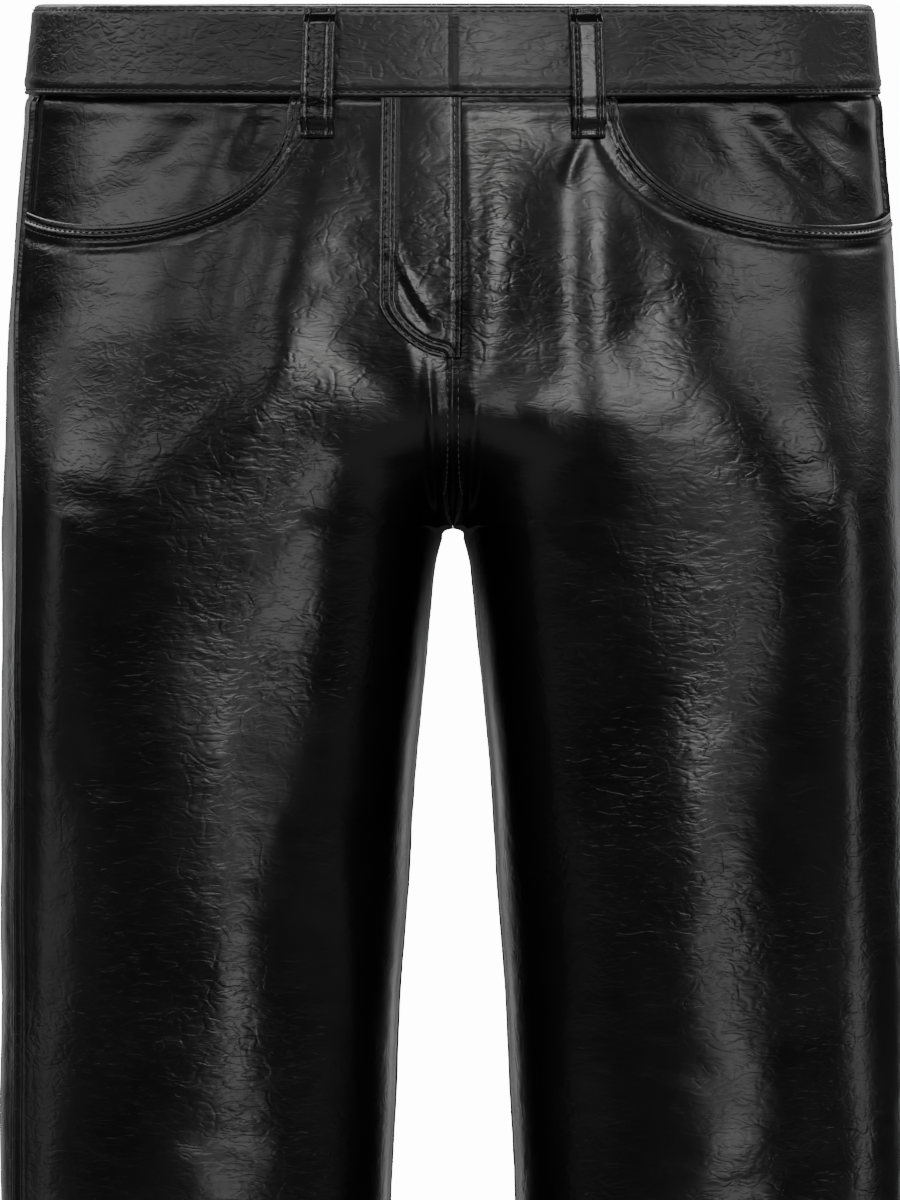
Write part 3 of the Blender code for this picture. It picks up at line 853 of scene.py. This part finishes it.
def add_leg_panel(panel, side, materials):
    chart, outer, to_hip = (front_chart if panel == "front" else back_chart)(side)
    columns = spaced(0.225, even=0.0021, fine=0.0006, reach=0.006)
    rows = panel_rows(outer, to_hip, *ROW_STEPS[panel])
    v, u = np.meshgrid(rows, columns, indexing="ij")
    level, around = chart(u, v)
    sewn, open_edge = panel_seams(level, around, side, panel)
    fall = round_edge(open_edge, CLOTH / 2)
    height = relief(level, around, side) + sewn - fall
    thickness = np.where(level < HEM + HEM_DEPTH, HEM_CLOTH, CLOTH) - 2 * fall
    return add_cloth(f"{panel}_{side}_cloth", side, (level, around), height, thickness, materials)


def band_height(level, around, side):
    """The waistband's outer face, with a groove under each row of stitches."""
    height = BAND_PROUD + wrinkles(level, around, side) * BAND_WRINKLE_SHARE
    height -= BAND_ROLL_SHARE * round_edge(BAND_TOP - level, BAND_ROLL)
    height += groove(level - WAIST_SEAM - EDGE_ROW, *BAND_EDGE_GROOVE)
    height += ridge(level - WAIST_SEAM - BAND_ROLL, *BAND_RIDGE)
    return height + groove(BAND_TOP - level - BAND_TOP_ROW, *BAND_TOP_GROOVE)


def add_waistband(side, materials):
    columns = spaced(FOLD_GIRTH, even=0.0024, fine=0.0005, reach=0.003)
    rows = spaced(0.035, even=0.0012, fine=0.0003, reach=0.0015)
    v, u = np.meshgrid(rows, columns, indexing="ij")
    level, around = band_chart()(u, v)
    height = band_height(level, around, side)
    edge = np.minimum(BAND_TOP - level, level - WAIST_SEAM)
    fall = round_edge(edge, BAND_CLOTH / 2)
    ends = np.minimum(around, 1.0 - around) * FOLD_GIRTH
    height = height - fall + groove(ends, *BAND_END_TURN)
    thickness = BAND_CLOTH - 2 * fall
    return add_cloth(f"waistband_{side}_cloth", side, (level, around), height, thickness, materials)


def add_pocket_facing(side, materials):
    columns = spaced(0.16, even=0.0017, fine=0.0008, reach=0.002)
    rows = spaced(0.055, even=0.0015, fine=0.0006, reach=0.002)
    v, u = np.meshgrid(rows, columns, indexing="ij")
    level, around = facing_chart(side)(u, v)
    height = relief(level, around, side) - FACING_DEPTH
    from_side = np.abs(SIDE_SEAM_AROUND[side] - around) * metres_around(level, around)
    height += seam_roll(from_side)
    height += seam_roll(np.abs(WAIST_SEAM - level))
    thickness = np.full(level.shape, CLOTH)
    name = f"pocket_facing_{side}_cloth"
    return add_cloth(name, side, (level, around), height, thickness, materials)


def fly_height(level, around):
    """The fly's outer face, and how far each place is from its edge."""
    height = relief(level, around, "right")
    edge_level = np.linspace(FLY_FOOT_LEVEL, WAIST_SEAM, 80)
    outline = distance_to_curve(level, around, edge_level, fly_edge(edge_level))
    lap = (around - FLY_LAP_AROUND) * FOLD_GIRTH
    height += FLY_LIFT + groove(lap - CENTRE_ROW, *FLY_LAP_GROOVE)
    for distance in FLY_ROWS:
        height += groove(outline - distance, *FLY_GROOVE)
    height += ridge(outline - sum(FLY_ROWS) / 2, *FLY_RIDGE)
    return height, np.minimum(outline, lap)


def fly_lift(level, around):
    return fly_height(level, around)[0] + THREAD_LIFT


def add_fly(materials):
    columns = spaced(0.027, even=0.0007, fine=0.0003, reach=0.0009)
    rows = np.linspace(0.0, 1.0, 120)
    v, u = np.meshgrid(rows, columns, indexing="ij")
    level, around = fly_chart()(u, v)
    height, edge = fly_height(level, around)
    fall = round_edge(edge, FLY_CLOTH / 2)
    thickness = FLY_CLOTH - 2 * fall
    return add_cloth("fly_cloth", "right", (level, around), height - fall, thickness, materials)


def add_belt_loop(name, side, middle, materials):
    columns = spaced(LOOP_WIDTH, even=0.0006, fine=0.0003, reach=0.0009)
    rows = np.linspace(0.0, 1.0, 70)
    v, u = np.meshgrid(rows, columns, indexing="ij")
    level, around = loop_chart(middle)(u, v)
    across = np.minimum(u, 1 - u) * LOOP_WIDTH
    height = loop_lift(level) + wrinkles(level, around, side) * LOOP_WRINKLE_SHARE
    ends = np.minimum(v, 1 - v) * 0.05
    fall = round_edge(np.minimum(across, ends), LOOP_CLOTH / 2)
    height = height - fall + groove(across - LOOP_ROW, *LOOP_GROOVE)
    height = height + LOOP_TILT[side] * (u - 0.5) * LOOP_WIDTH
    thickness = LOOP_CLOTH - 2 * fall
    return add_cloth(f"{name}_cloth", side, (level, around), height, thickness, materials)


def stitch_row(level, around, side, lift, pitch=0.0033, length=0.0024, radius=0.00028):
    """Short bent threads along a line of places. Returns their points and faces."""
    spots = lay(level, around, side, np.zeros(len(level)))
    run = np.concatenate([[0.0], np.cumsum(np.linalg.norm(np.diff(spots, axis=0), axis=1))])
    count = max(1, int(run[-1] / pitch))
    starts = (np.arange(count) + 0.5) * run[-1] / count - length / 2
    shares = np.linspace(0.0, 1.0, 5)
    rises = np.array([-0.6, 0.35, 0.6, 0.35, -0.6]) * radius * 1.6
    widths = np.array([0.35, 0.95, 1.0, 0.95, 0.35]) * radius
    along = starts[:, None] + shares[None, :] * length
    line_level = np.interp(along, run, level)
    line_around = np.interp(along, run, around)
    centre = lay(line_level, line_around, side, lift(line_level, line_around) + rises)
    out = mirrored(normals(line_level, line_around), side)
    ahead = np.gradient(centre, axis=1)
    ahead /= np.linalg.norm(ahead, axis=-1, keepdims=True)
    across = np.cross(ahead, out)
    sides = THREAD_SIDES
    rings = []
    for i in range(sides):
        a = 2 * math.pi * i / sides
        rings.append(centre + widths[:, None] * (math.cos(a) * across + math.sin(a) * out))
    points = np.stack(rings, axis=2)
    n, m = points.shape[0], points.shape[1]
    base = np.arange(n)[:, None, None] * m * sides
    j = np.arange(m - 1)[None, :, None] * sides
    i = np.arange(sides)[None, None, :]
    after = (i + 1) % sides
    here = base + j
    quads = np.stack([here + i, here + after, here + sides + after, here + sides + i], -1)
    return points.reshape(-1, 3), quads.reshape(-1, 4)


def add_stitches(name, rows, material):
    points, faces, base = [], [], 0
    for row_points, row_faces in rows:
        points.append(row_points)
        faces.append(row_faces + base)
        base += len(row_points)
    return add_mesh(name, np.concatenate(points), np.concatenate(faces), [material])


def panel_lift(side, panel):
    """The outer face's height for threads on a leg panel."""

    def lift(level, around):
        sewn = panel_seams(level, around, side, panel)[0]
        return relief(level, around, side) + sewn + THREAD_LIFT

    return lift


def moved_over(level, around, distance):
    """A line of places, moved sideways by metres to the left of its direction."""
    across, up = slopes(level, around)
    wide = np.linalg.norm(across, axis=-1)
    tall = np.linalg.norm(up, axis=-1)
    step_x = np.gradient(around) * wide
    step_z = np.gradient(level) * tall
    length = np.hypot(step_x, step_z)
    return level + distance * step_x / length / tall, around - distance * step_z / length / wide


def set_inputs(tree, made, inputs):
    """Gives a shader node its inputs, which are numbers or other nodes' sockets."""
    for name, value in inputs.items():
        if isinstance(value, bpy.types.NodeSocket):
            tree.links.new(value, made.inputs[name])
        else:
            made.inputs[name].default_value = value


def add_node(tree, kind, inputs, **settings):
    made = tree.nodes.new(kind)
    for name, value in settings.items():
        setattr(made, name, value)
    set_inputs(tree, made, inputs)
    return made


def maths(tree, kind, *values):
    return add_node(tree, "ShaderNodeMath", dict(enumerate(values)), operation=kind).outputs[0]


def noise(tree, place, scale, detail=2.0, rough=0.5, distort=0.0):
    inputs = {"Vector": place, "Scale": scale, "Detail": detail}
    inputs |= {"Roughness": rough, "Distortion": distort}
    return add_node(tree, "ShaderNodeTexNoise", inputs).outputs["Fac"]


def ranged(tree, value, start, end, low, high):
    """A value from start to end, as one from low to high."""
    inputs = {"Value": value, "From Min": start, "From Max": end, "To Min": low, "To Max": high}
    return add_node(tree, "ShaderNodeMapRange", inputs).outputs["Result"]


def between_colours(tree, value, dark, light):
    ramp = add_node(tree, "ShaderNodeValToRGB", {"Fac": value})
    for stop, colour in zip(ramp.color_ramp.elements, (dark, light)):
        stop.color = (*colour, 1.0)
    return ramp.outputs["Color"]


def bump(tree, height, distance):
    inputs = {"Height": height, "Distance": distance}
    return add_node(tree, "ShaderNodeBump", inputs).outputs["Normal"]


def new_material(name):
    """A material, its node tree, its shader, and the place on the piece in metres."""
    material = bpy.data.materials.new(name)
    material.use_nodes = True
    tree = material.node_tree
    place = add_node(tree, "ShaderNodeTexCoord", {}).outputs["Object"]
    return material, tree, tree.nodes["Principled BSDF"], place


def vinyl(name, shade, roughness, crinkle):
    """Black coated cloth with a fine crinkle, longer across than up."""
    material, tree, shader, place = new_material(name)
    squeeze = {"Vector": place, "Scale": (1.0, 1.0, CRINKLE_SQUEEZE)}
    stretched = add_node(tree, "ShaderNodeMapping", squeeze).outputs["Vector"]

    def thin_creases(vector, scale, distort, width):
        """0 along thin curved lines and 1 between them."""
        wave = noise(tree, vector, scale, detail=1.0, distort=distort)
        off = maths(tree, "ABSOLUTE", maths(tree, "SUBTRACT", wave, 0.5))
        inputs = {"Value": off, "From Max": width}
        made = add_node(tree, "ShaderNodeMapRange", inputs, interpolation_type="SMOOTHSTEP")
        return made.outputs["Result"]

    parts = (
        (thin_creases(place, scale=95.0, distort=0.9, width=0.13), 0.00007),
        (thin_creases(stretched, scale=120.0, distort=0.8, width=0.15), 0.00007),
        (noise(tree, stretched, 300.0, detail=1.0, distort=0.4), 0.00004),
        (noise(tree, stretched, 60.0, distort=0.5), 0.00030),
    )
    height = 0.0
    for part, depth in parts:
        height = maths(tree, "ADD", height, maths(tree, "MULTIPLY", part, depth * crinkle))
    unevenness = ranged(tree, noise(tree, place, 14.0, detail=1.0), 0.35, 0.65, 0.45, 1.2)
    normal = bump(tree, maths(tree, "MULTIPLY", height, unevenness), 1.0)
    patches = noise(tree, place, 26.0, detail=4.0, rough=0.6, distort=0.2)
    rough = ranged(tree, patches, 0.3, 0.7, roughness - 0.04, roughness + 0.05)
    tone = ranged(tree, patches, 0.0, 1.0, shade * 0.6, shade * 1.5)
    channels = {"Red": tone, "Green": tone, "Blue": maths(tree, "MULTIPLY", tone, 1.04)}
    colour = add_node(tree, "ShaderNodeCombineColor", channels).outputs["Color"]
    set_inputs(tree, shader, {"Base Color": colour, "Roughness": rough, "Normal": normal})
    return material


def backing(name):
    """The knitted inside of the coated cloth."""
    material, tree, shader, place = new_material(name)
    weave = noise(tree, place, 1400.0)
    colour = between_colours(tree, weave, (0.010, 0.010, 0.011), (0.045, 0.045, 0.048))
    normal = bump(tree, weave, 0.0002)
    set_inputs(tree, shader, {"Base Color": colour, "Roughness": 0.9, "Normal": normal})
    return material


def thread(name):
    """Glazed black thread."""
    material, tree, shader, place = new_material(name)
    twist = noise(tree, place, 900.0)
    colour = between_colours(tree, twist, (0.012, 0.012, 0.013), (0.05, 0.05, 0.052))
    set_inputs(tree, shader, {"Base Color": colour, "Roughness": 0.45})
    return material


def pocket_stitches(side):
    level, around = pocket_mouth(np.linspace(0.0, 1.0, 160), side)
    lift = panel_lift(side, "front")
    rows = []
    for distance in POCKET_ROWS:
        line = moved_over(level, around, -distance)
        kept = line[1] < SIDE_SEAM_AROUND[side] - 0.004
        rows.append(stitch_row(line[0][kept], line[1][kept], side, lift))
    return rows


def centre_stitches(side, panel):
    """Beside the front rise, below the fly, or beside the back rise."""
    if panel == "front":
        level = np.linspace(FLY_FOOT_LEVEL - 0.004, CROTCH + 0.012, 60)
        around = CENTRE_ROW / metres_around(level, np.full(60, ROWS_CLEAR_AROUND))
    else:
        level = np.linspace(WAIST_SEAM - 0.003, CROTCH + 0.016, 90)
        around = 1.0 - CENTRE_ROW / metres_around(level, np.full(90, 1 - ROWS_CLEAR_AROUND))
    return [stitch_row(level, around, side, panel_lift(side, panel))]


def hem_stitches(side, panel):
    seam = SIDE_SEAM_AROUND[side]
    start, end = (0.0, seam) if panel == "front" else (seam, 1.0)
    around = np.linspace(start + ROWS_CLEAR_AROUND, end - ROWS_CLEAR_AROUND, 150)
    level = np.full(150, HEM + HEM_DEPTH)
    return [stitch_row(level, around, side, panel_lift(side, panel))]


def band_lift(side):
    def lift(level, around):
        return band_height(level, around, side) + THREAD_LIFT

    return lift


def band_stitches(side):
    around = np.linspace(ROWS_CLEAR_AROUND, 1 - ROWS_CLEAR_AROUND, 300)
    rows = []
    for level in (WAIST_SEAM + EDGE_ROW, BAND_TOP - BAND_TOP_ROW):
        rows.append(stitch_row(np.full(300, level), around, side, band_lift(side)))
    return rows


def fly_stitches():
    """The J, in two rows, and one row down the edge that laps over."""
    edge_level = np.linspace(WAIST_SEAM - 0.001, FLY_FOOT_LEVEL, 160)
    rows = []
    for distance in FLY_ROWS:
        level, around = moved_over(edge_level, fly_edge(edge_level), -distance)
        kept = around > FLY_FOOT_AROUND / 2
        rows.append(stitch_row(level[kept], around[kept], "right", fly_lift))
    level = np.linspace(WAIST_SEAM - 0.001, FLY_FOOT_LEVEL + 0.003, 90)
    lap = np.full(90, FLY_LAP_AROUND + CENTRE_ROW / FOLD_GIRTH)
    rows.append(stitch_row(level, lap, "right", fly_lift))
    return rows


def loop_stitches(side, middle):
    """Both edges of a belt loop, and a bar tack across each end."""
    foot = WAIST_SEAM - LOOP_BELOW_SEAM + TACKS_CLEAR
    head = BAND_TOP - LOOP_TOP_INSET - TACKS_CLEAR
    level = np.linspace(foot, head, 60)
    width = metres_around(level, np.full(60, min(middle, LAST_AROUND)))

    def lift(level, around):
        return loop_lift(level)

    rows = []
    for edge in (-1, 1):
        around = middle + edge * (LOOP_WIDTH / 2 - LOOP_ROW) / width
        rows.append(stitch_row(level, around, side, lift))
    for end in (foot + TACKS_CLEAR, head - TACKS_CLEAR):
        for shift in (0.0, 0.0007):
            across = np.linspace(-1.0, 1.0, 24) * (LOOP_WIDTH / 2 - TACKS_CLEAR) / width[0]
            bar = np.full(24, end + shift)
            places = (bar, middle + across)
            rows.append(stitch_row(*places, side, lift, pitch=0.0009, length=0.0008))
    return rows


CRINKLE_SQUEEZE = 2.6
ROOM_BRIGHTNESS = 0.035
BACKDROP_BRIGHTNESS = 14.0
FLOOR_HALF = 6.0
FLOOR_LEVEL = -1.01
FLOOR_GREY = 0.78
CAMERA_AT = (-0.0011, -4.0, -0.2105)
FRAME_TALL = 0.4584
SENSOR = 36.0

# Soft boxes round the trousers, as degrees seen from them: azimuth is 0 in front and positive to
# the viewer's right. Half sizes are in degrees too, and brightness is what a mirror would show.
SOFT_BOX_COLUMNS = ("azimuth", "elevation", "half_width", "half_height", "brightness")
SOFT_BOXES = (
    (8, 15, 7, 6, 11.0),
    (4, 4, 5, 6, 7.0),
    (-29, 13, 7, 5.5, 3.4),
    (-74, 18, 28, 8, 3.1),
    (-30, 48, 26, 9, 5.0),
    (34, 44, 26, 8, 3.5),
    (62, 18, 19, 11, 3.0),
    (125, 16, 22, 12, 0.2),
    (98, -4, 6, 9, 1.8),
    (-98, -4, 6, 9, 0.8),
    (17, -16, 9, 6, 3.8),
    (0, -50, 80, 24, 0.3),
    (180, 42, 50, 18, 4.0),
    (160, -2, 6, 16, 0.7),
    (-160, -2, 6, 16, 0.7),
)


def direction(azimuth, elevation):
    a, e = math.radians(azimuth), math.radians(elevation)
    return (math.sin(a) * math.cos(e), -math.cos(a) * math.cos(e), math.sin(e))


def soft_box_shape(tree, place, box):
    """1 inside a soft box and 0 outside it, with edges that fade."""

    def vector(kind, a, b):
        return add_node(tree, "ShaderNodeVectorMath", {0: a, 1: b}, operation=kind).outputs

    def towards(azimuth, elevation):
        return vector("DOT_PRODUCT", place, direction(azimuth, elevation))["Value"]

    azimuth, elevation = box["azimuth"], box["elevation"]
    ahead = towards(azimuth, elevation)
    across = maths(tree, "ARCTAN2", towards(azimuth + 90, 0), ahead)
    upward = maths(tree, "ARCTAN2", towards(azimuth, elevation + 90), ahead)
    half_sizes = (math.radians(box["half_width"]), math.radians(box["half_height"]), 1.0)
    angles = add_node(tree, "ShaderNodeCombineXYZ", {0: across, 1: upward}).outputs[0]
    share = vector("DIVIDE", angles, half_sizes)["Vector"]
    square = vector("MULTIPLY", share, share)["Vector"]
    fourth_powers = vector("DOT_PRODUCT", square, square)["Value"]
    return maths(tree, "EXPONENT", maths(tree, "MULTIPLY", fourth_powers, -1.0))


def background(tree, strength):
    inputs = {"Color": (1.0, 1.0, 1.0, 1.0), "Strength": strength}
    return add_node(tree, "ShaderNodeBackground", inputs).outputs[0]


def add_studio():
    """A dark room with soft boxes, in front of a white backdrop, and a pale floor."""
    world = bpy.data.worlds.new("studio")
    bpy.context.scene.world = world
    world.use_nodes = True
    tree = world.node_tree
    tree.nodes.clear()
    place = add_node(tree, "ShaderNodeTexCoord", {}).outputs["Generated"]
    brightness = ROOM_BRIGHTNESS
    for row in SOFT_BOXES:
        box = dict(zip(SOFT_BOX_COLUMNS, row))
        shape = soft_box_shape(tree, place, box)
        brightness = maths(tree, "MULTIPLY_ADD", shape, box["brightness"], brightness)
    room = background(tree, brightness)
    backdrop = background(tree, BACKDROP_BRIGHTNESS)
    by_camera = add_node(tree, "ShaderNodeLightPath", {}).outputs["Is Camera Ray"]
    mix = add_node(tree, "ShaderNodeMixShader", {0: by_camera, 1: room, 2: backdrop})
    add_node(tree, "ShaderNodeOutputWorld", {"Surface": mix.outputs[0]})

    corners = ((-1, -1), (1, -1), (1, 1), (-1, 1))
    ground = np.array([(x * FLOOR_HALF, y * FLOOR_HALF, FLOOR_LEVEL) for x, y in corners])
    pale, tree, shader, _ = new_material("floor_pale")
    set_inputs(tree, shader, {"Base Color": (*[FLOOR_GREY] * 3, 1.0), "Roughness": 0.9})
    floor = add_mesh("floor", ground, np.array([[0, 1, 2, 3]]), [pale])
    floor.visible_glossy = False


def add_camera():
    """Level and square on, as in the photo: the frame is 0.344 m wide at the trousers."""
    data = bpy.data.cameras.new("camera")
    camera = bpy.data.objects.new("camera", data)
    bpy.context.scene.collection.objects.link(camera)
    camera.location = CAMERA_AT
    camera.rotation_euler = (math.radians(90), 0.0, 0.0)
    data.sensor_width = SENSOR
    data.lens = SENSOR * -CAMERA_AT[1] / FRAME_TALL
    data.clip_start = 0.05
    data.clip_end = 50.0
    bpy.context.scene.camera = camera


# Each slot's vinyl: how light it is, how rough, and how strong its crinkle is
VINYLS = {
    "panel_vinyl": (0.002, 0.25, 0.62),
    # The band is the same vinyl as the panels: its shade, three times lighter, is painted sheen
    # that stands in for the greyer gleam the lights give it
    "band_vinyl": (0.006, 0.34, 1.3),
    "facing_vinyl": (0.002, 0.25, 0.62),
    "fly_vinyl": (0.002, 0.25, 0.62),
    "loop_vinyl": (0.002, 0.22, 0.8),
}
inside = backing("knit_backing")
threads = thread("black_thread")
looks = {slot: [vinyl(slot, *numbers), inside] for slot, numbers in VINYLS.items()}


def finish_piece(piece, stitches=()):
    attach(piece, "root")
    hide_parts(piece.name.removesuffix("_cloth"))
    for item in stitches:
        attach(item, "root")


for side in ("left", "right"):
    for panel in ("front", "back"):
        rows = hem_stitches(side, panel) + centre_stitches(side, panel)
        if panel == "front":
            rows += pocket_stitches(side)
        stitches = add_stitches(f"stitches_{panel}_{side}", rows, threads)
        cloth = add_leg_panel(panel, side, looks["panel_vinyl"])
        finish_piece(cloth, [stitches])
    stitches = add_stitches(f"stitches_waistband_{side}", band_stitches(side), threads)
    cloth = add_waistband(side, looks["band_vinyl"])
    finish_piece(cloth, [stitches])
    cloth = add_pocket_facing(side, looks["facing_vinyl"])
    finish_piece(cloth)
stitches = add_stitches("stitches_fly", fly_stitches(), threads)
finish_piece(add_fly(looks["fly_vinyl"]), [stitches])
for name, side, middle in LOOPS:
    stitches = add_stitches(f"stitches_{name}", loop_stitches(side, middle), threads)
    cloth = add_belt_loop(name, side, middle, looks["loop_vinyl"])
    finish_piece(cloth, [stitches])
add_studio()
add_camera()
